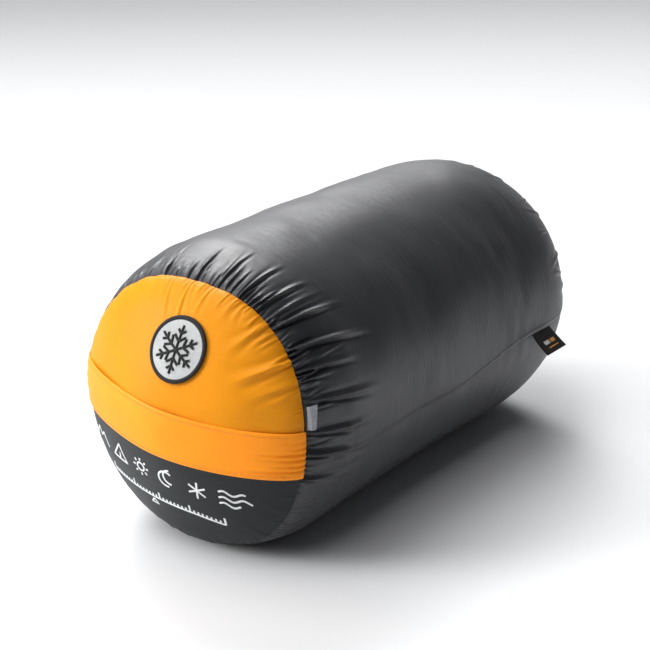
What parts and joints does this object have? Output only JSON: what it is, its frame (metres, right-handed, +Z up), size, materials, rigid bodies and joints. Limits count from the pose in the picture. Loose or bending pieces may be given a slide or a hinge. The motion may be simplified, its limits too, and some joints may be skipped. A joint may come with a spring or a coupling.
{
  "type": "packed mummy sleeping bag",
  "caption": "Mummy sleeping bag rolled inside its round stuff sack, lying on its side: two-colour domed base with a strap handle and a round badge, gathered mouth with a cord lock.",
  "frame": {"origin": "centre of the flat that the lying sack rests on, at floor level", "axes": "+Z up; +Y along the sack from its sewn base towards its gathered mouth; +X to the side with the lengthwise seam"},
  "size_m": [0.1829, 0.3624, 0.164],
  "materials": {
    "wall_cloth": "grey ripstop nylon, soft sheen",
    "upper_cloth": "yellow-orange ripstop nylon, soft sheen",
    "lower_cloth": "charcoal nylon with a pale printed scale",
    "binding_tape": "woven polyester tape",
    "handle_cloth": "orange nylon, folded and hemmed",
    "badge_ground": "pale grey twill",
    "badge_thread": "black embroidery thread",
    "satin_label": "white satin ribbon",
    "woven_label": "black damask with plain white and orange bars",
    "flap_cloth": "grey ripstop nylon",
    "black_cord": "braided polyester",
    "lock_plastic": "moulded acetal, matt",
    "button_plastic": "moulded acetal, matt",
    "spring_steel": "plated spring wire",
    "bag_shell": "orange nylon taffeta",
    "bag_fill": "white polyester wadding",
    "bag_lining": "charcoal polyester taffeta",
    "zip_tape": "woven polyester zip tape",
    "zip_coil": "nylon coil",
    "slider_metal": "black enamelled zinc",
    "loop_tape": "narrow grosgrain tape"
  },
  "bodies": {
    "sack": {"side_wall": "wall_cloth", "base_upper_panel": "upper_cloth", "base_lower_panel": "lower_cloth", "base_seam_binding": "binding_tape", "side_seam_tape": "binding_tape", "badge_ground": "badge_ground", "badge_border": "badge_thread", "badge_emblem": "badge_thread", "mouth_hem": "wall_cloth", "dust_flap": "flap_cloth", "drawcord": "black_cord", "cord_lock_barrel": "lock_plastic", "cord_lock_spring": "spring_steel", "shell_fabric": "bag_shell", "insulation": "bag_fill", "lining_fabric": "bag_lining", "draft_tube": "bag_lining", "zip_tapes": "zip_tape", "zip_coils": "zip_coil", "zip_slider": "slider_metal", "hood_hem": "bag_shell", "hood_drawcord": "black_cord", "hood_lock_barrel": "lock_plastic", "hood_lock_spring": "spring_steel", "hanging_loops": "loop_tape"},
    "handle": {"grab_handle": "handle_cloth"},
    "side_label": {"side_label": "woven_label"},
    "care_label": {"care_label": "satin_label"},
    "cord_lock_button": {"cord_lock_plunger": "button_plastic"},
    "hood_lock_button": {"hood_lock_plunger": "button_plastic"},
    "zip_pull": {"zip_pull": "slider_metal"}
  },
  "joints": [
    {"name": "handle_bow", "type": "slide", "parent": "sack", "child": "handle", "axis": [0, -1, 0], "range_m": [0, 0.014], "stiffness_N_per_m": 500, "springref_m": -0.001},
    {"name": "side_label_bend", "type": "hinge", "parent": "sack", "child": "side_label", "pos_m": [0.08564, 0.10225, 0.07188], "axis": [0, 1, 0], "range_deg": [-110, 35], "stiffness_Nm_per_rad": 0.0012},
    {"name": "care_label_bend", "type": "hinge", "parent": "sack", "child": "care_label", "pos_m": [0.07737, -0.13145, 0.095], "axis": [0, 0, 1], "range_deg": [-110, 0], "stiffness_Nm_per_rad": 0.0002},
    {"name": "cord_lock_press", "type": "slide", "parent": "sack", "child": "cord_lock_button", "axis": [0, 0, -1], "range_m": [0, 0.0035], "stiffness_N_per_m": 1500, "springref_m": -0.003, "deforming": ["cord_lock_spring"]},
    {"name": "hood_lock_press", "type": "slide", "parent": "sack", "child": "hood_lock_button", "axis": [0, 0, -1], "range_m": [0, 0.0035], "stiffness_N_per_m": 1500, "springref_m": -0.003, "deforming": ["hood_lock_spring"]},
    {"name": "zip_pull_swing", "type": "hinge", "parent": "sack", "child": "zip_pull", "pos_m": [-0.03025, 0.1241, 0.0786], "axis": [1, 0, 0], "range_deg": [0, 150]}
  ]
}
